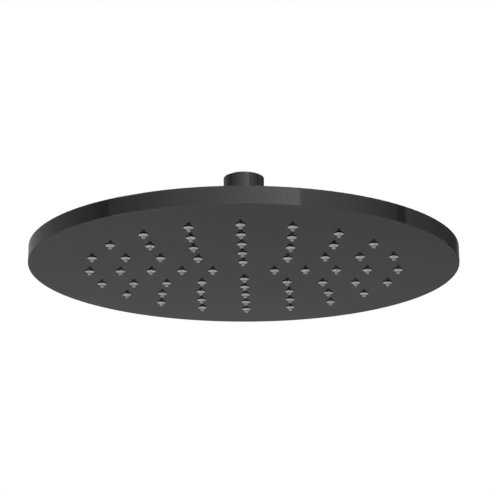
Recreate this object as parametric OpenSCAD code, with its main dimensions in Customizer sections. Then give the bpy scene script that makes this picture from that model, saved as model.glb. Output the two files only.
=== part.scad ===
// Round overhead shower head: a thin metal disc with five rings of soft nozzles in
// its face, hung by a ball swivel from a short threaded inlet socket.
// Millimetres. +Z points up, out of the inlet socket. The origin is the middle of
// the socket's mouth, and the face looks down.

/* [Disc] */
// Diameter of the disc
head_d = 250; // [210:1:400]
// Plain border from the outermost ring of nozzles to the rim
border_w = 35; // [28:1:60]
// Thickness of the face
face_wall = 2; // [1.6:0.1:3]
// Width of the rim wall
rim_wall = 4; // [3:0.5:6]
// Depth of the water space behind the face
chamber_h = 2.6; // [2.4:0.1:5]
// Thickness of the waterway plate
plate_wall = 2.4; // [2:0.1:4]
// Height of the ribs on the waterway plate
rib_h = 1.4; // [1.2:0.1:4]
// Thickness of the back cover
cover_wall = 1.5; // [1:0.1:3]
// Radius of the disc's rounded edges
edge_r = 0.4; // [0.2:0.1:0.7]

/* [Nozzles] */
// Nozzles that each ring has more than the ring inside it
ring_step = 4; // [3:1:5]
// Turn of the nozzle pattern about the middle
pattern_turn = -1; // [-45:1:45]
// Diameter of a nozzle's neck where it passes through the face
nozzle_neck_d = 3.8; // [3:0.1:4.6]
// Diameter of a nozzle's collar below the face
nozzle_collar_d = 5.4; // [5:0.1:6.5]
// Diameter of a nozzle's tip
nozzle_tip_d = 2.2; // [1.8:0.1:2.8]
// Reach of a nozzle below the face
nozzle_reach = 2.4; // [2:0.1:5]
// Diameter of a nozzle's jet hole
jet_d = 1.1; // [0.8:0.1:1.3]

/* [Swivel] */
// Height of the inlet's mouth above the disc's back
stem_h = 47; // [44:1:80]
// Diameter of the ball
ball_d = 20; // [18:0.5:24]
// Diameter of the neck above the ball
neck_d = 13.6; // [12:0.1:13.8]
// Largest tilt of the head either way, in degrees
tilt_max = 15; // [5:1:15]
// Wall of the cup that holds the ball
cup_wall = 3.7; // [3:0.1:6]

/* [Inlet] */
// Outer diameter of the inlet socket
inlet_d = 24; // [23:0.5:32]
// Minor diameter of the inlet's pipe thread
thread_d = 18.631; // [15:0.001:19]
// Depth of the inlet's thread
thread_h = 12; // [9:0.5:12]
// Diameter of the water bore through the neck
bore_d = 8.5; // [6:0.5:9]

/* [Screws] */
// Core diameter of the plate screws
screw_d = 2.4; // [2:0.1:3]
// Length of the plate screws under the head
screw_l = 5; // [4:0.5:5]

/* [Fits] */
// Radial clearance of pieces that are pushed or screwed together
snug = 0.05; // [0.02:0.01:0.1]
// Clearance of the faces that slide in the swivel
run_fit = 0.05; // [0.03:0.01:0.1]
// Gap round moving pieces that must not touch
swing_gap = 0.3; // [0.3:0.1:0.5]

/* [Hidden] */
$fn = 96;

// Levels through the disc, from the face up to its back
rib_gap = 0.1;
head_h = face_wall + chamber_h + plate_wall + rib_h + rib_gap + cover_wall;
face_z = -stem_h - head_h;
floor_z = face_z + face_wall;
plate_z = floor_z + chamber_h;
plate_top_z = plate_z + plate_wall;
cover_z = plate_top_z + rib_h + rib_gap;
back_z = -stem_h;

// Disc, rim and back cover
head_r = head_d / 2;
rim_inner_r = head_r - rim_wall;
rim_fillet = 1;
cover_seat_w = 2;
cover_seat_r = head_r - rim_wall + cover_seat_w;
cover_r = cover_seat_r - 0.1;
cover_edge = 0.25;

// Rings of nozzles
ring_count = 5;
ring_pitch = (head_r - border_w) / ring_count;
flange_r = nozzle_neck_d / 2 + 1.1;
flange_h = 1;
flange_pocket_h = 0.5;

// Seal round the water space, and the screws that hold the waterway plate down
seal_r = head_r - border_w + 9;
skirt_w = 6;
cord_w = 2.3;
groove_w = 2.6;
groove_h = 1.7;
outer_screw_r = seal_r + 7;
plate_r = outer_screw_r + 5;
screw_r = screw_d / 2;
screw_head_r = 2.75;
screw_head_h = 1.8;
screw_hole_r = screw_r + 0.5;
screw_head_z = plate_top_z - 0.6;
screw_tip_z = screw_head_z - screw_l;
screw_seal_h = 0.6;
screw_pocket_r = screw_head_r + 0.45;
boss_r = 3.5;
boss_fillet = 0.5;
rib_w = 1.2;
plate_edge = 0.4;

// Swivel, upwards from the back of the disc
ball_r = ball_d / 2;
neck_r = neck_d / 2;
bore_r = bore_d / 2;
tail_r = bore_r + 1.25;
cup_r = ball_r + swing_gap;
cup_outer_r = cup_r + cup_wall;
shank_r = 9;
shank_bore_r = 6.5;
turned_edge = 0.4;
lock_nut_h = 1.4;
lock_nut_r = shank_r + 4.6;
cup_floor_z = back_z + 3;
ball_z = cup_floor_z + ball_r;
cup_top_z = ball_z + 0.7;
glide_h = 4.25;
glide_z = cup_top_z + run_fit;
glide_r = cup_r + 1.15;
lip_z = glide_z + glide_h + run_fit;
lip_h = 0.95;
collar_top_z = lip_z + lip_h;
lip_r = sqrt(pow(ball_r + swing_gap, 2) - pow(lip_z - ball_z, 2));
collar_r = cup_outer_r + 2.5;
cover_nut_h = 2.5;
cover_nut_r = cup_outer_r + 4;
collar_z = back_z + cover_nut_h + 0.2;

// The ball is cut flat where the neck meets it and at its open lower end. The seal
// touches it outside the path of that lower edge.
ball_top_y = sqrt(pow(ball_r, 2) - pow(neck_r + 0.35, 2));
ball_end_r = tail_r + 0.9;
ball_end_y = sqrt(pow(ball_r, 2) - pow(ball_end_r, 2));
seal_bore_r = ball_r * sin(asin(ball_end_r / ball_r) + tilt_max + 1);
seal_top_y = 4.2;

// Inlet socket, downwards from its mouth
inlet_r = inlet_d / 2;
thread_r = thread_d / 2;
washer_pocket_r = thread_r + 0.4;
washer_pocket_h = 2.3;
washer_h = 1.7;
screen_h = 0.4;
regulator_pocket_r = 7.5;
regulator_pocket_h = 4.7;
screen_z = -thread_h - washer_pocket_h;
washer_z = screen_z + screen_h;
regulator_z = screen_z - regulator_pocket_h;
inlet_base_z = regulator_z - 2;
inlet_edge = 0.5;
neck_fillet = 1.5;
water_r = 6.4;

// Flow regulator
regulator_r = regulator_pocket_r - snug;
regulator_h = regulator_pocket_h - 0.3;
regulator_floor = 1.2;
regulator_post_r = 1.9;
tooth_h = 0.6;
regulator_cord = 2;

// Copies of the children, evenly spaced on a circle
module ring_of(count, radius, turn = 0) {
    for (i = [0:count - 1])
        rotate([0, 0, turn + 360 * i / count])
            translate([radius, 0, 0])
                children();
}

module at_nozzles(ring) {
    ring_of(ring_step * ring, ring_pitch * ring, pattern_turn) children();
}

module at_inner_screws() {
    ring_of(4, 1.5 * ring_pitch, 45) children();
    ring_of(8, 3.5 * ring_pitch, 22.5) children();
}

module at_outer_screws() {
    ring_of(12, outer_screw_r, 15) children();
}

// A cylinder that spans two levels
module rod(radius, low, high) {
    translate([0, 0, low]) cylinder(r = radius, h = high - low);
}

// A ring of rectangular section that spans two levels
module band(inner, outer, low, high) {
    difference() {
        rod(outer, low, high);
        rod(inner, low - 1, high + 1);
    }
}

// A turned disc that spans two levels, with both outer edges cut at 45 degrees
module turned(radius, low, high, low_edge, high_edge) {
    rotate_extrude() polygon([
        [0, low],
        [radius - low_edge, low],
        [radius, low + low_edge],
        [radius, high - high_edge],
        [radius - high_edge, high],
        [0, high],
    ]);
}

// The cut that widens the upper mouth of a bore at 45 degrees
module mouth_cut(radius, level, edge) {
    translate([0, 0, level - edge]) cylinder(r1 = radius, r2 = radius + 2 * edge, h = 2 * edge);
}

// Section of the round corner between a wall and a floor, in the corner's own quadrant
module corner_fillet(radius) {
    difference() {
        square(radius);
        translate([radius, radius]) circle(r = radius);
    }
}

// A ring of cord pressed flat top and bottom in its groove, lying on a level
module pressed_cord(radius, width, height, low) {
    translate([0, 0, low + height / 2]) rotate_extrude()
        translate([radius, 0]) {
            square([width - height, height], center = true);
            for (side = [-1, 1])
                translate([side * (width - height) / 2, 0])
                    circle(d = height, $fn = 32);
        }
}

// Section of the pan: the face, the rim with its rounded edges, and the ledge for the cover
module pan_section() {
    difference() {
        union() {
            square([head_r - edge_r, head_h]);
            translate([0, edge_r]) square([head_r, head_h - 2 * edge_r]);
            for (y = [edge_r, head_h - edge_r])
                translate([head_r - edge_r, y]) circle(r = edge_r);
        }
        difference() {
            translate([-1, face_wall]) square([rim_inner_r + 1, head_h]);
            translate([rim_inner_r, face_wall]) mirror([1, 0]) corner_fillet(rim_fillet);
        }
        translate([-1, cover_z - face_z]) square([cover_seat_r + 1, head_h]);
        translate([cover_seat_r, head_h]) rotate(45) square(cover_edge, center = true);
    }
}

module nozzle_hole() {
    rod(nozzle_neck_d / 2 + snug, face_z - 1, floor_z);
    rod(flange_r + 0.1, floor_z - flange_pocket_h, floor_z + 1);
}

// Screw boss, widened at its foot
module boss() {
    rod(boss_r, floor_z - 0.5, plate_z);
    translate([0, 0, floor_z - 0.5])
        cylinder(r1 = boss_r + boss_fillet + 0.5, r2 = boss_r, h = boss_fillet + 0.5);
}

module face_pan() {
    color("dimgray")
    difference() {
        union() {
            translate([0, 0, face_z]) rotate_extrude() pan_section();
            at_inner_screws() boss();
            at_outer_screws() boss();
        }
        for (ring = [1:ring_count]) at_nozzles(ring) nozzle_hole();
        at_inner_screws() rod(screw_r + snug, screw_tip_z - 0.4, plate_z + 1);
        at_outer_screws() rod(screw_r + snug, screw_tip_z - 0.4, plate_z + 1);
    }
}

module back_cover() {
    color("gray")
    difference() {
        turned(cover_r, cover_z, back_z, cover_edge, cover_edge);
        rod(cup_outer_r + 0.15, cover_z - 1, back_z + 1);
    }
}

// Moulded plate that closes the water space, stiffened by ribs on its dry side
module waterway_plate() {
    rib_top_z = cover_z - rib_gap;
    color("ivory")
    difference() {
        union() {
            turned(plate_r, plate_z, plate_top_z, plate_edge, plate_edge);
            band(seal_r - skirt_w / 2, seal_r + skirt_w / 2, floor_z + snug, plate_z + 0.5);
            band(cup_outer_r + 0.1, cup_outer_r + 1.6, plate_top_z - 0.5, rib_top_z);
            for (radius = [2.5 * ring_pitch, 4.5 * ring_pitch, plate_r - rib_w / 2])
                band(radius - rib_w / 2, radius + rib_w / 2, plate_top_z - 0.5, rib_top_z);
            for (i = [0:11])
                rotate([0, 0, 30 * i])
                    translate([cup_outer_r + 1, -rib_w / 2, plate_top_z - 0.5])
                        cube([plate_r - cup_outer_r - 1.5, rib_w, rib_top_z - plate_top_z + 0.5]);
        }
        rod(shank_r + snug, plate_z - 1, plate_top_z + 1);
        band(seal_r - groove_w / 2, seal_r + groove_w / 2, floor_z - 1, floor_z + snug + groove_h);
        at_inner_screws() {
            rod(screw_hole_r, plate_z - 1, plate_top_z + 1);
            rod(screw_pocket_r, screw_head_z - screw_seal_h, plate_top_z + 1);
        }
        at_outer_screws() {
            rod(screw_hole_r, plate_z - 1, plate_top_z + 1);
            rod(screw_pocket_r, screw_head_z, plate_top_z + 1);
        }
    }
}

module chamber_o_ring() {
    color("black")
    pressed_cord(seal_r, cord_w, groove_h, floor_z + snug / 2);
}

// Pan-head screw with a blunt point and a six-sided driver socket
module plate_screw() {
    head_top_z = screw_head_z + screw_head_h;
    difference() {
        rotate_extrude() polygon([
            [0, screw_tip_z],
            [screw_r - 0.5, screw_tip_z],
            [screw_r, screw_tip_z + 0.8],
            [screw_r, screw_head_z],
            [screw_head_r, screw_head_z],
            [screw_head_r, head_top_z - 0.6],
            [screw_head_r - 0.4, head_top_z - 0.2],
            [screw_head_r - 1.2, head_top_z],
            [0, head_top_z],
        ]);
        translate([0, 0, screw_head_z + 0.6]) cylinder(d = 2.3, h = 2, $fn = 6);
    }
}

module outer_screws() {
    color("silver")
    at_outer_screws() plate_screw();
}

module inner_screws() {
    color("silver")
    at_inner_screws() plate_screw();
}

module screw_seals() {
    color("black")
    at_inner_screws()
        band(screw_hole_r, screw_head_r + 0.15, screw_head_z - screw_seal_h, screw_head_z);
}

// Turned cup for the ball, with the threaded shank that carries it in the plate
module ball_socket() {
    color("goldenrod")
    difference() {
        union() {
            turned(shank_r, plate_z - lock_nut_h, plate_top_z + 1, turned_edge, turned_edge);
            turned(cup_outer_r, plate_top_z, cup_top_z, turned_edge, turned_edge);
        }
        rod(shank_bore_r, face_z, cup_top_z + 1);
        rod(cup_r, cup_floor_z, cup_top_z + 1);
        mouth_cut(cup_r, cup_top_z, turned_edge);
        mouth_cut(shank_bore_r, cup_floor_z, turned_edge);
        band(shank_r + 1.3, shank_r + 3.7, plate_top_z - 1, plate_top_z + 1.2);
    }
}

module socket_o_ring() {
    color("black")
    pressed_cord(shank_r + 2.5, 2, 1.2, plate_top_z);
}

// Thin six-sided nut whose corners are cut back on the side away from the plate
module socket_lock_nut() {
    color("goldenrod")
    difference() {
        intersection() {
            translate([0, 0, plate_z - lock_nut_h])
                cylinder(r = lock_nut_r, h = lock_nut_h, $fn = 6);
            turned(lock_nut_r, plate_z - lock_nut_h, plate_z, lock_nut_h - 0.3, 0.1);
        }
        rod(shank_r + snug, face_z, plate_z + 1);
    }
}

// Thin round nut that clamps the back cover, with four spanner notches
module cover_nut() {
    color("gray")
    difference() {
        turned(cover_nut_r, back_z, back_z + cover_nut_h, turned_edge / 2, turned_edge);
        rod(cup_outer_r + snug, back_z - 1, back_z + cover_nut_h + 1);
        mouth_cut(cup_outer_r + snug, back_z + cover_nut_h, turned_edge);
        for (i = [0:3])
            rotate([0, 0, 90 * i + 45])
                translate([cover_nut_r - 1.4, -1.5, back_z - 1])
                    cube([3, 3, cover_nut_h + 2]);
    }
}

module ball_seal() {
    color("black")
    difference() {
        band(seal_bore_r, cup_r - snug, cup_floor_z, ball_z - seal_top_y);
        translate([0, 0, ball_z]) sphere(r = ball_r + run_fit);
    }
}

module glide_ring() {
    color("white")
    difference() {
        band(neck_r + 1, glide_r, glide_z, glide_z + glide_h);
        translate([0, 0, ball_z]) sphere(r = ball_r + run_fit);
    }
}

// Union collar, screwed over the cup, whose lip keeps the glide ring on the ball
module swivel_collar() {
    flat_y = cup_outer_r + 1.4;
    color("gray")
    difference() {
        turned(collar_r, collar_z, collar_top_z, 1.5 * turned_edge, 2 * turned_edge);
        rod(cup_outer_r + snug, collar_z - 1, cup_top_z);
        rod(glide_r + run_fit, cup_top_z - 1, lip_z);
        rod(lip_r, lip_z - 1, collar_top_z + 1);
        mouth_cut(lip_r, collar_top_z, turned_edge);
        for (side = [-1, 1])
            translate([-collar_r, side * (flat_y + 5) - 5, collar_z - 1])
                cube([2 * collar_r, 10, 9]);
    }
}

module swivel_ball() {
    color("silver")
    difference() {
        translate([0, 0, ball_z]) intersection() {
            sphere(r = ball_r);
            rod(ball_r + 1, -ball_end_y, ball_top_y);
        }
        rod(tail_r + snug, ball_z - ball_r, ball_z + ball_r);
    }
}

// Turned inlet: a socket for the arm's pipe thread, the neck, and the tail that holds the ball
module inlet_connector() {
    flat_y = inlet_r - 1;
    color("gray")
    difference() {
        union() {
            turned(inlet_r, inlet_base_z, 0, inlet_edge, inlet_edge);
            rod(neck_r, ball_z + ball_top_y, inlet_base_z + 1);
            translate([0, 0, inlet_base_z]) mirror([0, 0, 1]) rotate_extrude()
                translate([neck_r, 0]) corner_fillet(neck_fillet);
            turned(tail_r, ball_z - ball_end_y + 0.5, inlet_base_z + 1, turned_edge, turned_edge);
        }
        rod(thread_r, -thread_h - 0.5, 1);
        rod(washer_pocket_r, screen_z, -thread_h);
        rod(regulator_pocket_r, regulator_z, screen_z + 0.5);
        rod(bore_r, ball_z - ball_r, regulator_z + 0.5);
        for (side = [-1, 1])
            translate([-inlet_r, side * (flat_y + 5) - 5, inlet_base_z - 1])
                cube([2 * inlet_r, 10, 7]);
    }
}

module inlet_washer() {
    color("black")
    band(water_r + 0.4, washer_pocket_r - 0.15, washer_z, washer_z + washer_h);
}

// Round screen with its holes on a square grid, inside a plain rim
module filter_screen() {
    pitch = 1.5;
    span = floor(water_r / pitch);
    color("silver")
    difference() {
        rod(washer_pocket_r - 0.2, screen_z, screen_z + screen_h);
        for (i = [-span:span], j = [-span:span])
            if (norm([i, j]) * pitch < water_r - 0.6)
                translate([i * pitch, j * pitch, 0])
                    rod(0.5, screen_z - 1, screen_z + 1, $fn = 24);
    }
}

// Cup with a toothed floor. The rubber ring on the teeth narrows the way as pressure rises.
module flow_regulator() {
    floor_top_z = regulator_z + regulator_floor;
    color("green")
    union() {
        difference() {
            rod(regulator_r, regulator_z, regulator_z + regulator_h);
            rod(regulator_r - 1.2, floor_top_z, regulator_z + regulator_h + 1);
            ring_of(8, 3.2, 22.5) rod(0.7, regulator_z - 1, floor_top_z + 1, $fn = 32);
        }
        rod(regulator_post_r, floor_top_z - 0.5, regulator_z + regulator_h - 0.6);
        for (i = [0:7])
            rotate([0, 0, 45 * i])
                translate([regulator_post_r - 0.5, -0.5, floor_top_z - 0.5])
                    cube([regulator_r - 1.2 - regulator_post_r + 0.8, 1, tooth_h + 0.5]);
    }
}

module regulator_o_ring() {
    color("black")
    translate([0, 0, regulator_z + regulator_floor + tooth_h + regulator_cord / 2])
        rotate_extrude()
            translate([regulator_post_r + snug + regulator_cord / 2, 0])
                circle(d = regulator_cord, $fn = 48);
}

// Soft nozzle pushed through the face from inside: an inner flange, a neck, a collar
// that snaps out under the face, a short cone and a thin tip
module nozzle() {
    neck_r = nozzle_neck_d / 2;
    collar_r = nozzle_collar_d / 2;
    tip_r = nozzle_tip_d / 2;
    jet_r = jet_d / 2;
    flange_low = face_wall - flange_pocket_h;
    flange_top = flange_low + flange_h;
    translate([0, 0, face_z]) rotate_extrude($fn = 64) polygon([
        [jet_r + 1, flange_top],
        [flange_r, flange_top],
        [flange_r, flange_low],
        [neck_r, flange_low],
        [neck_r, -0.1],
        [collar_r, -0.35],
        [collar_r - 0.15, -0.5],
        [tip_r + 0.1, -0.6 * nozzle_reach],
        [tip_r, -nozzle_reach + 0.15],
        [tip_r - 0.15, -nozzle_reach],
        [jet_r, -nozzle_reach],
        [jet_r, -0.3 * nozzle_reach],
    ]);
}

module nozzles_ring(ring) {
    color("darkgray")
    at_nozzles(ring) nozzle();
}

face_pan();
back_cover();
waterway_plate();
chamber_o_ring();
outer_screws();
inner_screws();
screw_seals();
ball_socket();
socket_o_ring();
socket_lock_nut();
cover_nut();
ball_seal();
glide_ring();
swivel_collar();
swivel_ball();
inlet_connector();
inlet_washer();
filter_screen();
flow_regulator();
regulator_o_ring();
nozzles_ring(1);  // nozzles_ring_1
nozzles_ring(2);  // nozzles_ring_2
nozzles_ring(3);  // nozzles_ring_3
nozzles_ring(4);  // nozzles_ring_4
nozzles_ring(5);  // nozzles_ring_5
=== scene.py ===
"""The looks of a round overhead shower head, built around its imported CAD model.

A thin disc of dark plated brass carries five rings of grey silicone nozzles. Behind it
stand a ball swivel and an inlet socket with a G 1/2 pipe thread. Sizes are in
millimetres in the classes and in metres in the meshes, in the frame of the CAD model:
+Z up, the origin in the middle of the inlet's mouth, the face looking down.
"""

import logging
import math
from dataclasses import dataclass
from enum import Enum

import bpy
import numpy as np
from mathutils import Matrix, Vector


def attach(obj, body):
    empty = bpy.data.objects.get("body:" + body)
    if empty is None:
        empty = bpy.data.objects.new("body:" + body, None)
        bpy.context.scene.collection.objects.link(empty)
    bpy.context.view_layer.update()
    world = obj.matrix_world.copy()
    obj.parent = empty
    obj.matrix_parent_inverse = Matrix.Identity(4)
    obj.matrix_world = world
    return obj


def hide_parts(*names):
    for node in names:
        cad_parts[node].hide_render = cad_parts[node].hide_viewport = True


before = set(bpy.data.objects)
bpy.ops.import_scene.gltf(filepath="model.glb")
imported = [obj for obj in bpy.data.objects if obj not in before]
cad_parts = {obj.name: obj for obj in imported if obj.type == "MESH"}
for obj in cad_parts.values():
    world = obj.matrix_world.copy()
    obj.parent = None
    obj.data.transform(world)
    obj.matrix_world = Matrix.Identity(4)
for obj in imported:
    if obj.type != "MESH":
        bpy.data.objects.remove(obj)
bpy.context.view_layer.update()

log = logging.getLogger("shower_head")

MM = 0.001
SHARP_ANGLE = math.radians(38)


def linear(colour: str) -> tuple[float, float, float, float]:
    """Turn an sRGB hex colour into linear light.

    Args:
        colour: The colour as six hex digits after a hash sign.

    Returns:
        Red, green, blue and an alpha of 1.
    """
    levels = [int(colour[i:i + 2], 16) / 255 for i in (1, 3, 5)]
    light = [v / 12.92 if v <= 0.04045 else ((v + 0.055) / 1.055) ** 2.4 for v in levels]
    return light[0], light[1], light[2], 1.0


def add(tree: bpy.types.NodeTree, kind: str, sockets: dict | None = None, **settings) -> bpy.types.Node:
    """Add a node with its settings and links.

    Args:
        tree: The node tree that the node goes in.
        kind: The node's type name.
        sockets: What goes into each input: a number, a colour, or an output to link.
        settings: The node's own properties.

    Returns:
        The new node.
    """
    node = tree.nodes.new(kind)
    for name, value in settings.items():
        setattr(node, name, value)
    for key, value in (sockets or {}).items():
        if isinstance(value, bpy.types.NodeSocket):
            tree.links.new(value, node.inputs[key])
        else:
            node.inputs[key].default_value = value
    return node


class Surface(Enum):
    """How a surface was made, which sets the coordinates that its pattern follows."""

    TURNED = "rings round the object's axis, left by a tool or a polishing wheel"
    EVEN = "the same in every direction, as in a mould or a tumbling drum"


@dataclass(frozen=True)
class Finish:
    """A material: what it is, how its surface was made and what that gives the eye.

    Attributes:
        name: The real material and how its surface was made.
        colour: Base colour as sRGB hex.
        shade: The colour that the mottling leads to, as sRGB hex.
        surface: How the surface was made.
        roughness: Middle roughness.
        spread: Roughness above and below the middle.
        grain: Size of the pattern, in mm.
        relief: Height of the pattern, in mm.
        mottle: Size of the slow changes of colour, in mm.
        metallic: 1 for a metal.
        glance: Colour of a metal's reflection near grazing.
        softness: Weight of the light that passes through the surface.
        depth: How far that light goes, in mm.
    """

    name: str
    colour: str
    shade: str
    surface: Surface
    roughness: float
    spread: float
    grain: float
    relief: float
    mottle: float
    metallic: float = 0.0
    glance: str = "#FFFFFF"
    softness: float = 0.0
    depth: float = 1.0

    def coordinates(self, tree: bpy.types.NodeTree) -> bpy.types.NodeSocket:
        """Give the point that the pattern is read at.

        A turned surface is read at (distance from the axis, height, a little of the
        angle), so its pattern runs round the axis. Any other is read at its own place.

        Args:
            tree: The material's node tree.

        Returns:
            The output that holds the point, in metres.
        """
        place = add(tree, "ShaderNodeTexCoord").outputs["Object"]
        if self.surface is Surface.EVEN:
            return place
        flat = add(tree, "ShaderNodeVectorMath", {0: place, 1: (1, 1, 0)}, operation="MULTIPLY")
        distance = add(tree, "ShaderNodeVectorMath", {0: flat.outputs[0]}, operation="LENGTH")
        parts = add(tree, "ShaderNodeSeparateXYZ", {0: place})
        turn = add(tree, "ShaderNodeMath", {0: parts.outputs[1], 1: parts.outputs[0]}, operation="ARCTAN2")
        arc = add(tree, "ShaderNodeMath", {0: turn.outputs[0], 1: MM}, operation="MULTIPLY")
        point = add(tree, "ShaderNodeCombineXYZ", {
            0: distance.outputs["Value"], 1: parts.outputs[2], 2: arc.outputs[0]})
        return point.outputs[0]

    def material(self) -> bpy.types.Material:
        """Build the material: grain in the roughness and the relief, mottling in the colour."""
        made = bpy.data.materials.new(self.name)
        made.use_nodes = True
        tree = made.node_tree
        tree.nodes.clear()
        point = self.coordinates(tree)
        grain = add(tree, "ShaderNodeTexNoise", {
            "Vector": point, "Scale": 1 / (self.grain * MM), "Detail": 3.0, "Roughness": 0.55})
        place = add(tree, "ShaderNodeTexCoord").outputs["Object"]
        mottle = add(tree, "ShaderNodeTexNoise", {
            "Vector": place, "Scale": 1 / (self.mottle * MM), "Detail": 4.0, "Roughness": 0.6})
        blend = add(tree, "ShaderNodeMapRange", {
            "Value": mottle.outputs[0], "From Min": 0.35, "From Max": 0.65})
        colour = add(tree, "ShaderNodeMix", {
            0: blend.outputs[0], 6: linear(self.colour), 7: linear(self.shade)}, data_type="RGBA")
        both = add(tree, "ShaderNodeMath", {0: grain.outputs[0], 1: mottle.outputs[0]}, operation="ADD")
        rough = add(tree, "ShaderNodeMapRange", {
            "Value": both.outputs[0], "From Min": 0.7, "From Max": 1.3,
            "To Min": self.roughness - self.spread, "To Max": self.roughness + self.spread})
        bump = add(tree, "ShaderNodeBump", {
            "Strength": 1.0, "Distance": self.relief * MM, "Height": grain.outputs[0]})
        shader = add(tree, "ShaderNodeBsdfPrincipled", {
            "Base Color": colour.outputs[2],
            "Metallic": self.metallic,
            "Roughness": rough.outputs[0],
            "Specular Tint": linear(self.glance),
            "Subsurface Weight": self.softness,
            "Subsurface Radius": (1.0, 1.0, 1.0),
            "Subsurface Scale": self.depth * MM,
            "Normal": bump.outputs[0],
        })
        add(tree, "ShaderNodeOutputMaterial", {"Surface": shader.outputs[0]})
        return made


# Brass, polished on a wheel and coated in vacuum with a dark grey metal. It mirrors the
# room darkly and sharply, with a trace of the wheel's rings and a slow change of tone.
DARK_PLATE = Finish(
    name="dark_plated_polished_brass", colour="#494949", shade="#454545", surface=Surface.TURNED,
    roughness=0.07, spread=0.02, grain=0.5, relief=0.00002, mottle=45, metallic=1.0, glance="#BCBCBC",
)
# Steel ball, ground and chromed: bright, and as smooth as the seals that run on it need.
CHROME = Finish(
    name="chromed_ground_steel", colour="#C9CBCC", shade="#C2C4C6", surface=Surface.EVEN,
    roughness=0.09, spread=0.03, grain=0.4, relief=0.0001, mottle=9, metallic=1.0,
)
# Brass as it comes off the lathe: fine tool rings, warm, slightly tarnished in patches.
TURNED_BRASS = Finish(
    name="brass_turned", colour="#DDBB72", shade="#C9A25A", surface=Surface.TURNED,
    roughness=0.27, spread=0.08, grain=0.18, relief=0.002, mottle=14, metallic=1.0,
)
# Stainless steel wire and screws, tumbled to a soft grey shine.
STAINLESS = Finish(
    name="stainless_steel_tumbled", colour="#BFC1C2", shade="#B0B2B4", surface=Surface.EVEN,
    roughness=0.3, spread=0.07, grain=0.25, relief=0.0008, mottle=3, metallic=1.0,
)
# Silicone, moulded: matt and faintly translucent, with the mould's fine eroded grain.
SILICONE = Finish(
    name="silicone_rubber_moulded", colour="#9E9E9E", shade="#969696", surface=Surface.EVEN,
    roughness=0.52, spread=0.07, grain=0.22, relief=0.002, mottle=2.5, softness=0.08, depth=0.6,
)
# Ethylene propylene rubber, moulded: black with a dull skin.
RUBBER = Finish(
    name="epdm_rubber_moulded", colour="#1C1C1D", shade="#232324", surface=Surface.EVEN,
    roughness=0.58, spread=0.08, grain=0.2, relief=0.003, mottle=4,
)
# Acetal, moulded: white, dense and slippery, with a soft gloss.
ACETAL = Finish(
    name="acetal_moulded", colour="#ECEBE6", shade="#E4E3DC", surface=Surface.EVEN,
    roughness=0.36, spread=0.05, grain=0.3, relief=0.0012, mottle=7, softness=0.06, depth=1.0,
)
# ABS, moulded: ivory, with the mould's light spark-eroded grain on its dry side.
ABS = Finish(
    name="abs_moulded", colour="#DAD7CB", shade="#D2CEC0", surface=Surface.EVEN,
    roughness=0.44, spread=0.06, grain=0.35, relief=0.003, mottle=18, softness=0.04, depth=0.8,
)
# Acetal dyed through for the regulator, so that its flow rate can be told by its colour.
GREEN_ACETAL = Finish(
    name="acetal_dyed_green", colour="#4C9269", shade="#438660", surface=Surface.EVEN,
    roughness=0.38, spread=0.05, grain=0.3, relief=0.0015, mottle=6,
)


@dataclass
class MeshData:
    """Vertices and faces of a piece, in mm, before they become a mesh.

    Attributes:
        points: The vertices, one row each.
        faces: The faces as rows of vertex numbers, grouped by how many corners they have.
    """

    points: np.ndarray
    faces: list[np.ndarray]

    def volume(self) -> float:
        """Signed volume, which is positive where the faces point outwards."""
        total = 0.0
        for group in self.faces:
            corners = self.points[group]
            for i in range(1, group.shape[1] - 1):
                total += np.einsum("ij,ij->", corners[:, 0], np.cross(corners[:, i], corners[:, i + 1]))
        return total / 6

    def outward(self) -> "MeshData":
        """Turn every face round if the shape is inside out."""
        if self.volume() < 0:
            self.faces = [group[:, ::-1] for group in self.faces]
        return self

    @staticmethod
    def joined(parts: list["MeshData"]) -> "MeshData":
        """Put several shapes in one, one after the other."""
        starts = np.cumsum([0] + [len(part.points) for part in parts[:-1]])
        faces = [group + start for part, start in zip(parts, starts) for group in part.faces]
        return MeshData(np.concatenate([part.points for part in parts]), faces)

    def piece(self, name: str, material: bpy.types.Material) -> bpy.types.Object:
        """Make the piece: smooth faces, with sharp edges where it turns by more than SHARP_ANGLE.

        Args:
            name: The piece's name.
            material: Its finish.

        Returns:
            The object, at the origin, with its place in its mesh.
        """
        mesh = bpy.data.meshes.new(name)
        mesh.from_pydata((self.points * MM).tolist(), [], [face for group in self.faces for face in group.tolist()])
        mesh.polygons.foreach_set("use_smooth", np.ones(len(mesh.polygons), bool))
        mesh.set_sharp_from_angle(angle=SHARP_ANGLE)
        mesh.materials.append(material)
        mesh.validate()
        made = bpy.data.objects.new(name, mesh)
        bpy.context.scene.collection.objects.link(made)
        return made


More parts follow.
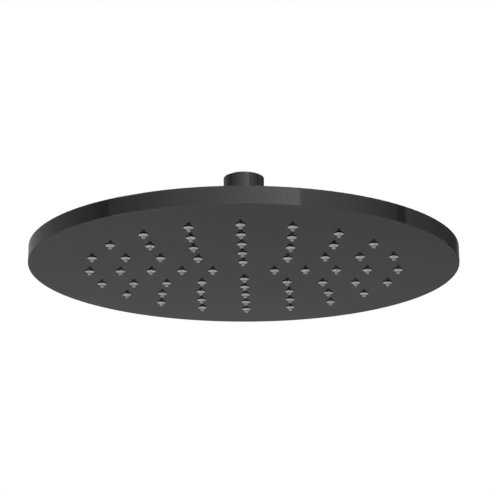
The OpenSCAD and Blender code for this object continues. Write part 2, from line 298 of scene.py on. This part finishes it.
def rounded(corners: np.ndarray, radii: np.ndarray, steps: int) -> np.ndarray:
    """Round the corners of a closed outline.

    With c a corner and a, b the points at its radius along its two sides, each corner is
    drawn as (1 - t)^2 a + 2 t (1 - t) c + t^2 b, for t from 0 to 1. A radius is cut to
    0.45 of the shorter side, so neighbouring corners never meet. One more point on each
    side, just past the curve, keeps the shading of the curve off the straight part.

    Args:
        corners: The corners in order, one row each.
        radii: The distance from each corner at which its curve starts.
        steps: Points for the curve of each corner.

    Returns:
        The rounded outline, one row a point.
    """
    before = np.roll(corners, 1, axis=0) - corners
    after = np.roll(corners, -1, axis=0) - corners
    length_before = np.linalg.norm(before, axis=1)[:, None]
    length_after = np.linalg.norm(after, axis=1)[:, None]
    cut = np.minimum(radii[:, None], 0.45 * np.minimum(length_before, length_after))
    past = np.minimum(0.5 * cut, 0.04 * np.minimum(length_before, length_after))
    a = corners + before / length_before * cut
    b = corners + after / length_after * cut
    t = np.linspace(0, 1, steps)[None, :, None]
    curve = (1 - t) ** 2 * a[:, None] + 2 * t * (1 - t) * corners[:, None] + t ** 2 * b[:, None]
    start = (a + before / length_before * past)[:, None]
    end = (b + after / length_after * past)[:, None]
    return np.concatenate([start, curve, end], axis=1).reshape(-1, 2)


def wrapped_quads(rows: int, columns: int) -> np.ndarray:
    """Quads of a grid whose last row joins its first and whose last column joins its first.

    Args:
        rows: Rows of the grid.
        columns: Columns of the grid.

    Returns:
        Four vertex numbers a quad, for vertices numbered row by row.
    """
    i, j = (x.ravel() for x in np.meshgrid(np.arange(rows), np.arange(columns), indexing="ij"))
    down, across = (i + 1) % rows, (j + 1) % columns
    return np.stack([i * columns + j, i * columns + across, down * columns + across, down * columns + j], axis=1)


def turned_ring(outline: np.ndarray, columns: int) -> MeshData:
    """Turn a closed outline round the Z axis.

    P(s, v) = (r(s) cos v, r(s) sin v, z(s)), for v once round.

    Args:
        outline: Distance from the axis and height of each point, in mm.
        columns: Steps round the axis.

    Returns:
        The closed surface.
    """
    v = np.arange(columns) * 2 * math.pi / columns
    r, z = outline[:, :1], outline[:, 1:]
    points = np.stack([r * np.cos(v), r * np.sin(v), z + 0 * v], axis=-1)
    return MeshData(points.reshape(-1, 3), [wrapped_quads(len(outline), columns)]).outward()


def dress(finish: bpy.types.Material, *nodes: str) -> None:
    """Give CAD nodes a finish.

    Args:
        finish: The material.
        nodes: The nodes' names.
    """
    for name in nodes:
        for material_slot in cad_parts[name].material_slots:
            material_slot.material = finish
        log.info("%s wears %s", name, finish.name)


def stand_for(piece: bpy.types.Object, node: str, body: str) -> None:
    """Let a new piece take a CAD node's place.

    Args:
        piece: The new piece.
        node: The node that it replaces.
        body: The body that it rides on.
    """
    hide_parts(node)
    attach(piece, body)
    log.info("%s replaces %s on %s: %d faces", piece.name, node, body, len(piece.data.polygons))


@dataclass
class Disc:
    """The disc: face pan, back cover and the nut that clamps the cover."""

    def dress(self, finishes: dict[str, bpy.types.Material]) -> None:
        """Give the disc its dark plating."""
        dress(finishes["dark_plate"], "face_pan", "back_cover", "cover_nut")


@dataclass
class Waterway:
    """What the disc holds: the plate over the water space, its seals and its screws."""

    def dress(self, finishes: dict[str, bpy.types.Material]) -> None:
        """Give the inner pieces their finishes."""
        dress(finishes["abs"], "waterway_plate")
        dress(finishes["rubber"], "chamber_o_ring", "screw_seals")
        dress(finishes["stainless"], "outer_screws", "inner_screws")


@dataclass
class NozzleField:
    """Five rings of soft nozzles, pushed through the face from inside.

    Attributes:
        rings: Number of rings.
        ring_step: Nozzles that each ring has more than the ring inside it.
        ring_pitch: Distance between two rings.
        turn: Turn of the pattern about the middle, in degrees.
        face_z: Height of the face.
        wall: Thickness of the face.
        pocket: Depth of the pocket for the flange in the face's inner side.
        neck_r: Radius where the nozzle passes through the face.
        flange_r: Radius of the flange inside.
        flange_h: Thickness of the flange.
        collar_r: Radius of the collar below the face.
        tip_r: Radius of the tip.
        jet_r: Radius of the jet hole.
        reach: How far the nozzle stands below the face.
        columns: Steps round a nozzle.
        corner_steps: Points for each rounded corner of its section.
    """

    rings: int = 5
    ring_step: int = 4
    ring_pitch: float = 18.0
    turn: float = -1.0
    face_z: float = -57.0
    wall: float = 2.0
    pocket: float = 0.5
    neck_r: float = 1.9
    flange_r: float = 3.0
    flange_h: float = 1.0
    collar_r: float = 2.7
    tip_r: float = 1.0
    jet_r: float = 0.55
    reach: float = 2.4
    columns: int = 28
    corner_steps: int = 4

    def section(self) -> np.ndarray:
        """Outline of a nozzle: flange, neck, collar, a flared cone and a thin tip."""
        flange_low = self.wall - self.pocket
        flange_top = flange_low + self.flange_h
        rows = np.array([
            (self.jet_r + 1.0, flange_top, 0.15),
            (self.flange_r, flange_top, 0.15),
            (self.flange_r, flange_low, 0.15),
            (self.neck_r, flange_low, 0.1),
            (self.neck_r, -0.1, 0.1),
            (self.collar_r, -0.35, 0.12),
            (self.collar_r - 0.15, -0.5, 0.12),
            (self.tip_r + 0.1, -0.45 * self.reach, 0.6),
            (self.tip_r, 0.15 - self.reach, 0.1),
            (self.tip_r - 0.15, -self.reach, 0.1),
            (self.jet_r, -self.reach, 0.12),
            (self.jet_r, -0.3 * self.reach, 0.2),
        ])
        outline = rounded(rows[:, :2], rows[:, 2], self.corner_steps)
        return outline + (0, self.face_z)

    def ring(self, number: int) -> MeshData:
        """Nozzles of a ring, evenly spaced on its circle.

        Nozzle k of n stands at the angle turn + 360 k / n, at number times the pitch.

        Args:
            number: The ring, counted from the middle.

        Returns:
            All its nozzles in one shape.
        """
        single = turned_ring(self.section(), self.columns)
        count = self.ring_step * number
        angle = np.radians(self.turn) + np.arange(count) * 2 * math.pi / count
        centres = self.ring_pitch * number * np.stack([np.cos(angle), np.sin(angle), 0 * angle], axis=1)
        points = (single.points[None] + centres[:, None]).reshape(-1, 3)
        starts = np.arange(count)[:, None, None] * len(single.points)
        return MeshData(points, [(single.faces[0][None] + starts).reshape(-1, 4)])

    def build(self, finishes: dict[str, bpy.types.Material]) -> None:
        """Build each ring in place of its CAD node."""
        for number in range(1, self.rings + 1):
            piece = self.ring(number).piece(f"silicone_nozzles_{number}", finishes["silicone"])
            stand_for(piece, f"nozzles_ring_{number}", "head")


@dataclass
class Swivel:
    """The ball swivel: cup and collar on the head, ball on the inlet, rings between them."""

    def dress(self, finishes: dict[str, bpy.types.Material]) -> None:
        """Give the swivel's pieces their finishes."""
        dress(finishes["brass"], "ball_socket", "socket_lock_nut")
        dress(finishes["dark_plate"], "swivel_collar")
        dress(finishes["chrome"], "swivel_ball")
        dress(finishes["acetal"], "glide_ring")
        dress(finishes["rubber"], "ball_seal", "socket_o_ring")


@dataclass
class Inlet:
    """The inlet: a socket with a G 1/2 thread, the neck, and the tail in the ball.

    Attributes:
        outer_r: Outer radius of the socket.
        base_z: Height of the socket's lower side.
        edge: Width of the socket's cut outer edges.
        flat_y: Distance of the two spanner flats from the axis.
        flat_top_z: Height of the ledge above the flats.
        thread_r: Minor radius of the thread.
        thread_major_r: Major radius of the thread.
        thread_pitch: Pitch of the thread, 14 turns to the inch.
        thread_h: Depth of the thread.
        mouth_r: Radius of the cone that leads into the thread.
        pocket_r: Radius of the washer's pocket.
        pocket_z: Height of its floor.
        regulator_r: Radius of the regulator's pocket.
        regulator_z: Height of its floor.
        bore_r: Radius of the water bore.
        tail_r: Radius of the tail.
        tail_z: Height of its end.
        neck_r: Radius of the neck.
        neck_z: Height where the neck sits on the ball.
        neck_fillet: Radius of the neck's fillet under the socket.
        columns: Steps round the axis.
        turn_rows: Rows for each turn of the thread.
    """

    outer_r: float = 12.0
    base_z: float = -21.0
    edge: float = 0.5
    flat_y: float = 11.0
    flat_top_z: float = -15.0
    thread_r: float = 9.3155
    thread_major_r: float = 10.4775
    thread_pitch: float = 1.814
    thread_h: float = 12.0
    mouth_r: float = 10.8
    pocket_r: float = 9.7155
    pocket_z: float = -14.3
    regulator_r: float = 7.5
    regulator_z: float = -19.0
    bore_r: float = 4.25
    tail_r: float = 5.5
    tail_z: float = -41.18
    neck_r: float = 6.8
    neck_z: float = -27.01
    neck_fillet: float = 1.5
    columns: int = 144
    turn_rows: int = 20

    def thread_rows(self) -> np.ndarray:
        """Heights of the rows down the thread."""
        count = int(self.thread_h / self.thread_pitch * self.turn_rows)
        return np.linspace(0, -self.thread_h, count)

    def body_outline(self) -> np.ndarray:
        """Outline of the socket, neck and tail, from below the thread round to the mouth."""
        rows = np.array([
            (self.pocket_r, -self.thread_h - 0.1, 0.02),
            (self.pocket_r, self.pocket_z, 0.1),
            (self.regulator_r, self.pocket_z, 0.1),
            (self.regulator_r, self.regulator_z, 0.2),
            (self.bore_r, self.regulator_z, 0.2),
            (self.bore_r, self.tail_z, 0.2),
            (self.tail_r, self.tail_z, 0.3),
            (self.tail_r, self.neck_z, 0.02),
            (self.neck_r, self.neck_z, 0.15),
            (self.neck_r, self.base_z - self.neck_fillet, 0.02),
            (self.neck_r, self.base_z, self.neck_fillet),
            (self.outer_r - self.edge, self.base_z, 0.12),
            (self.outer_r, self.base_z + self.edge, 0.12),
            (self.outer_r, self.flat_top_z, 0.02),
            (self.outer_r, self.flat_top_z + 0.3, 0.02),
            (self.outer_r, -self.edge, 0.12),
            (self.outer_r - self.edge, 0, 0.12),
        ])
        return rounded(rows[:, :2], rows[:, 2], 4)

    def shape(self) -> MeshData:
        """Surface of the inlet in one piece.

        P(s, v) = (R cos v, R sin v, z(s)). R is r(s) for most rows. Down the thread it is
        the larger of the mouth's cone, mouth radius + z, and the helix
        minor radius + depth (1 - cos(2 pi z / pitch - v)) / 2, whose flanks lean as those
        of a 55 degree thread. Below the flats' ledge it is the smaller of r and
        flat_y / |sin v|, which is the plane y = flat_y.

        Returns:
            The closed surface.
        """
        corner = math.asin(self.flat_y / self.outer_r)
        corners = np.array([corner, math.pi - corner, math.pi + corner, 2 * math.pi - corner])
        corners = (corners[:, None] + np.radians([-0.5, 0, 0.5])).ravel()
        even = np.arange(self.columns) * 2 * math.pi / self.columns
        v = np.unique(np.round(np.concatenate([even, corners]), 9))[None, :]
        z = self.thread_rows()[:, None]
        run_out = np.clip((z + self.thread_h) / self.thread_pitch, 0.35, 1)
        depth = (self.thread_major_r - self.thread_r) * run_out
        helix = self.thread_r + depth * (1 - np.cos(2 * math.pi * z / self.thread_pitch - v)) / 2
        threaded = np.maximum(helix, self.mouth_r + z)
        outline = self.body_outline()
        r = outline[:, :1]
        plane = self.flat_y / np.maximum(np.abs(np.sin(v)), 0.2)
        below_ledge = (outline[:, 1:] <= self.flat_top_z + 0.1) & (r > self.flat_y)
        body = np.where(below_ledge, np.minimum(r, plane), r + 0 * v)
        radius = np.concatenate([threaded, body])
        height = np.concatenate([z, outline[:, 1:]]) + 0 * v
        points = np.stack([radius * np.cos(v), radius * np.sin(v), height], axis=-1)
        return MeshData(points.reshape(-1, 3), [wrapped_quads(*radius.shape)]).outward()

    def build(self, finishes: dict[str, bpy.types.Material]) -> None:
        """Build the threaded inlet in place of its CAD node, and dress what it holds."""
        piece = self.shape().piece("threaded_inlet", finishes["dark_plate"])
        stand_for(piece, "inlet_connector", "inlet")
        dress(finishes["rubber"], "inlet_washer", "regulator_o_ring")
        dress(finishes["green_acetal"], "flow_regulator")


@dataclass
class WovenScreen:
    """The inlet's filter: plain woven steel wire in a pressed rim.

    Attributes:
        z: Height of the screen's lower side.
        thickness: Thickness of the rim.
        rim_r: Outer radius of the rim.
        open_r: Inner radius of the rim.
        wire_r: Radius of the wire.
        pitch: Distance between two wires.
        wave_points: Points along each pitch of a wire.
        sides: Sides of a wire.
    """

    z: float = -14.3
    thickness: float = 0.4
    rim_r: float = 9.5155
    open_r: float = 6.6
    wire_r: float = 0.1
    pitch: float = 0.62
    wave_points: int = 4
    sides: int = 6

    def wires(self, across: bool) -> MeshData:
        """One of the two sets of wires.

        Wire k lies at y = k pitch and weaves as z = (-1)^k w cos(pi x / pitch), with w the
        wire's radius. The other set lies along y, with x and y swapped and the sign of its
        wave turned, so each wire passes over and under its neighbours in turn.

        Args:
            across: True for the set that lies along y.

        Returns:
            Its wires, each a closed tube.
        """
        reach = int(self.open_r / self.pitch)
        k = np.arange(-reach, reach + 1)
        offset = k * self.pitch
        half = np.sqrt((self.open_r + 0.2) ** 2 - offset ** 2)
        count = 2 * reach * self.wave_points + 1
        t = np.linspace(-1, 1, count)
        x = half[:, None] * t[None, :]
        sign = np.where(k % 2 == 0, 1.0, -1.0)[:, None] * (-1 if across else 1)
        wave = sign * self.wire_r * np.cos(math.pi * x / self.pitch)
        turn = np.arange(self.sides) * 2 * math.pi / self.sides
        along = x[:, :, None] + 0 * turn
        side = offset[:, None, None] + self.wire_r * np.cos(turn) + 0 * along
        height = wave[:, :, None] + self.wire_r * np.sin(turn) + self.z + self.thickness / 2
        axes = (side, along, height) if across else (along, side, height)
        points = np.stack(axes, axis=-1).reshape(-1, 3)
        quads = wrapped_quads(count, self.sides).reshape(count, self.sides, 4)[:-1].reshape(-1, 4)
        starts = np.arange(len(k))[:, None, None] * count * self.sides
        rings = np.arange(self.sides)[None, :]
        caps = np.concatenate([rings[:, ::-1], rings + (count - 1) * self.sides])
        tube = [(quads[None] + starts).reshape(-1, 4), (caps[None] + starts).reshape(-1, self.sides)]
        return MeshData(points, tube).outward()

    def rim(self) -> MeshData:
        """The rim: a flat ring with rounded edges."""
        low, high = self.z, self.z + self.thickness
        corners = np.array([(self.open_r, low), (self.rim_r, low), (self.rim_r, high), (self.open_r, high)])
        return turned_ring(rounded(corners, np.full(4, 0.12), 4), 96)

    def build(self, finishes: dict[str, bpy.types.Material]) -> None:
        """Build the screen in place of its CAD node."""
        shape = MeshData.joined([self.rim(), self.wires(False), self.wires(True)])
        piece = shape.piece("woven_screen", finishes["stainless"])
        stand_for(piece, "filter_screen", "inlet")


@dataclass(frozen=True)
class LightPanel:
    """A tall soft light, as the object sees it.

    Attributes:
        start: Azimuth of its first edge, in degrees from -Y towards +X.
        end: Azimuth of its other edge.
        first: Brightness at its first edge.
        last: Brightness at its other edge.
        bend: Power of the change from one to the other.
    """

    start: float
    end: float
    first: float
    last: float
    bend: float = 1.0


@dataclass
class Studio:
    """A plain studio: white backdrop, soft panels round the object, a pale floor with a patch of painted light.

    Attributes:
        floor_z: Height of the floor, in metres, a person's height below the disc.
        floor_r: Radius of the floor, in metres.
        fade_r: Radius from which the floor fades into the backdrop, in metres.
        painted_light_pool: Middle of the light painted into the floor's colour, where the floor is palest, in
            metres.
        painted_light_near: Distance from there at which the painted light starts to fade.
        painted_light_far: Distance at which it has faded in full to the painted shade.
        painted_lit_floor_colour: Colour of the floor under the painted light, as sRGB hex.
        painted_shaded_floor_colour: Its colour far from there, darkened as painted shade.
        upper_wall: Brightness of the wall above the panels.
        strip_light: Brightness of the tall soft strips on that wall.
        strips: Number of strips, evenly round the object.
        strip_turn: Azimuth of the first strip, in degrees.
        ceiling: Brightness overhead.
    """

    floor_z: float = -2.1
    floor_r: float = 12.0
    fade_r: float = 8.5
    # Painted light on the floor: a pale patch round this point, fading to a darker painted shade further out.
    painted_light_pool: tuple[float, float] = (-5.0, 1.5)
    painted_light_near: float = 4.0
    painted_light_far: float = 12.0
    painted_lit_floor_colour: str = "#C1C1C0"
    painted_shaded_floor_colour: str = "#898988"
    upper_wall: float = 1.4
    strip_light: float = 14.0
    strips: int = 4
    strip_turn: float = 22.5
    ceiling: float = 0.8

    def panels(self) -> list[LightPanel]:
        """The soft panels, all the way round from behind the object."""
        return [
            LightPanel(-180, -160, 0.3, 0.45),
            LightPanel(-160, -136, 0.45, 1.2),
            LightPanel(-136, -122, 1.2, 1.0),
            LightPanel(-122, -74, 1.0, 0.24, 0.6),
            LightPanel(-74, 29, 0.4, 1.58, 1.3),
            LightPanel(29, 86.5, 0.92, 0.4, 1.35),
            LightPanel(86.5, 93, 0.27, 0.27),
            LightPanel(93, 130, 0.58, 0.5),
            LightPanel(130, 150, 0.5, 0.15),
            LightPanel(150, 180, 0.15, 0.3),
        ]

    def light(self) -> None:
        """Light the scene: panels round the object, tall strips above them, a ceiling, a white backdrop."""
        world = bpy.data.worlds.new("soft_studio")
        world.use_nodes = True
        bpy.context.scene.world = world
        tree = world.node_tree
        tree.nodes.clear()
        direction = add(tree, "ShaderNodeTexCoord").outputs["Generated"]
        parts = add(tree, "ShaderNodeSeparateXYZ", {0: direction})
        toward = add(tree, "ShaderNodeMath", {0: parts.outputs[1], 1: -1.0}, operation="MULTIPLY")
        turn = add(tree, "ShaderNodeMath", {0: parts.outputs[0], 1: toward.outputs[0]}, operation="ARCTAN2")
        azimuth = add(tree, "ShaderNodeMath", {0: turn.outputs[0]}, operation="DEGREES").outputs[0]
        walls = None
        for panel in self.panels():
            share = add(tree, "ShaderNodeMapRange", {
                "Value": azimuth, "From Min": panel.start, "From Max": panel.end})
            bent = add(tree, "ShaderNodeMath", {0: share.outputs[0], 1: panel.bend}, operation="POWER")
            level = add(tree, "ShaderNodeMapRange", {
                "Value": bent.outputs[0], "To Min": panel.first, "To Max": panel.last})
            past = add(tree, "ShaderNodeMath", {0: azimuth, 1: panel.start}, operation="GREATER_THAN")
            short = add(tree, "ShaderNodeMath", {0: azimuth, 1: panel.end}, operation="LESS_THAN")
            inside = add(tree, "ShaderNodeMath", {0: past.outputs[0], 1: short.outputs[0]}, operation="MULTIPLY")
            walls = add(tree, "ShaderNodeMath", {
                0: level.outputs[0], 1: inside.outputs[0], 2: walls or 0.0}, operation="MULTIPLY_ADD").outputs[0]
        climb = add(tree, "ShaderNodeMath", {0: parts.outputs[2]}, operation="ARCSINE")
        height = add(tree, "ShaderNodeMath", {0: climb.outputs[0]}, operation="DEGREES").outputs[0]
        above_panels = add(tree, "ShaderNodeMapRange", {
            "Value": height, "From Min": 20.0, "From Max": 28.0}, interpolation_type="SMOOTHSTEP")
        phase = add(tree, "ShaderNodeMath", {
            0: turn.outputs[0], 1: self.strips, 2: -self.strips * math.radians(self.strip_turn)},
            operation="MULTIPLY_ADD")
        wave = add(tree, "ShaderNodeMath", {0: phase.outputs[0]}, operation="COSINE")
        upper = add(tree, "ShaderNodeMapRange", {
            "Value": wave.outputs[0], "From Min": 0.81, "From Max": 0.94,
            "To Min": self.upper_wall, "To Max": self.strip_light}, interpolation_type="SMOOTHSTEP")
        room = add(tree, "ShaderNodeMix", {
            0: above_panels.outputs[0], 2: walls, 3: upper.outputs[0]}, data_type="FLOAT")
        overhead = add(tree, "ShaderNodeMapRange", {
            "Value": height, "From Min": 45.0, "From Max": 60.0}, interpolation_type="SMOOTHSTEP")
        studio = add(tree, "ShaderNodeMix", {
            0: overhead.outputs[0], 2: room.outputs[0], 3: self.ceiling}, data_type="FLOAT")
        seen = add(tree, "ShaderNodeLightPath").outputs["Is Camera Ray"]
        strength = add(tree, "ShaderNodeMix", {0: seen, 2: studio.outputs[0], 3: 1.0}, data_type="FLOAT")
        background = add(tree, "ShaderNodeBackground", {"Strength": strength.outputs[0]})
        background.inputs["Color"].default_value = (1, 1, 1, 1)
        add(tree, "ShaderNodeOutputWorld", {"Surface": background.outputs[0]})
        log.info("studio lit by %d panels", len(self.panels()))

    def floor_material(self) -> bpy.types.Material:
        """Pale matt floor, with a patch of light painted into its colour that darkens outwards as painted shade,
        and that fades into the white backdrop towards its edge.
        """
        made = bpy.data.materials.new("pale_floor")
        made.use_nodes = True
        tree = made.node_tree
        tree.nodes.clear()
        place = add(tree, "ShaderNodeTexCoord").outputs["Object"]
        distance = add(tree, "ShaderNodeVectorMath", {0: place}, operation="LENGTH")
        fade = add(tree, "ShaderNodeMapRange", {
            "Value": distance.outputs["Value"], "From Min": self.fade_r, "From Max": self.floor_r},
            interpolation_type="SMOOTHSTEP")
        # Painted light: the floor's colour is palest near one point and darker away from it, a patch of light and
        # its falloff painted into the floor.
        distance_from_painted_light = add(tree, "ShaderNodeVectorMath", {
            0: place, 1: (*self.painted_light_pool, self.floor_z)}, operation="DISTANCE")
        outward = add(tree, "ShaderNodeMapRange", {
            "Value": distance_from_painted_light.outputs["Value"], "From Min": self.painted_light_near, "From Max": self.painted_light_far})
        colour = add(tree, "ShaderNodeMix", {
            0: outward.outputs[0], 6: linear(self.painted_lit_floor_colour), 7: linear(self.painted_shaded_floor_colour)},
            data_type="RGBA")
        matt = add(tree, "ShaderNodeBsdfDiffuse", {"Color": colour.outputs[2]})
        glow = add(tree, "ShaderNodeEmission", {"Color": (1, 1, 1, 1), "Strength": 1.0})
        mix = add(tree, "ShaderNodeMixShader", {
            0: fade.outputs[0], 1: matt.outputs[0], 2: glow.outputs[0]})
        add(tree, "ShaderNodeOutputMaterial", {"Surface": mix.outputs[0]})
        return made

    def build(self) -> None:
        """Build the round floor and the lights."""
        turn = np.arange(128) * 2 * math.pi / 128
        edge = np.stack([np.cos(turn), np.sin(turn), 0 * turn], axis=1) * self.floor_r
        floor = MeshData((edge + (0, 0, self.floor_z)) / MM, [np.arange(128)[None]]).piece(
            "floor", self.floor_material())
        self.light()
        bpy.context.scene.view_settings.view_transform = "Standard"


@dataclass
class PhotographCamera:
    """The camera at the photograph's place, fitted to the disc, the nozzles and the inlet.

    Attributes:
        place: The camera's place, in metres.
        aim: The point in the middle of the picture, in metres.
        lens: Focal length for a sensor 36 mm wide.
    """

    place: tuple[float, float, float] = (0.0022, -0.9270, -0.3180)
    aim: tuple[float, float, float] = (0.0022, 0.0, -0.04316)
    lens: float = 120.03

    def build(self) -> None:
        """Make the camera and use it."""
        data = bpy.data.cameras.new("photograph_camera")
        data.sensor_width = 36.0
        data.lens = self.lens
        data.clip_start, data.clip_end = 0.05, 60.0
        camera = bpy.data.objects.new("photograph_camera", data)
        camera.location = self.place
        line = Vector(self.aim) - Vector(self.place)
        camera.rotation_euler = line.to_track_quat("-Z", "Y").to_euler()
        bpy.context.scene.collection.objects.link(camera)
        bpy.context.scene.camera = camera
        log.info("camera %.3f m from the middle of the picture", line.length)


def main() -> None:
    """Build the camera, the object piece by piece, and the studio."""
    logging.basicConfig(level=logging.INFO, format="%(name)s: %(message)s")
    PhotographCamera().build()
    finishes = {name: finish.material() for name, finish in {
        "dark_plate": DARK_PLATE, "chrome": CHROME, "brass": TURNED_BRASS, "stainless": STAINLESS,
        "silicone": SILICONE, "rubber": RUBBER, "acetal": ACETAL, "abs": ABS, "green_acetal": GREEN_ACETAL,
    }.items()}
    Disc().dress(finishes)
    Waterway().dress(finishes)
    NozzleField().build(finishes)
    Swivel().dress(finishes)
    Inlet().build(finishes)
    WovenScreen().build(finishes)
    Studio().build()


if __name__ == "__main__":
    main()
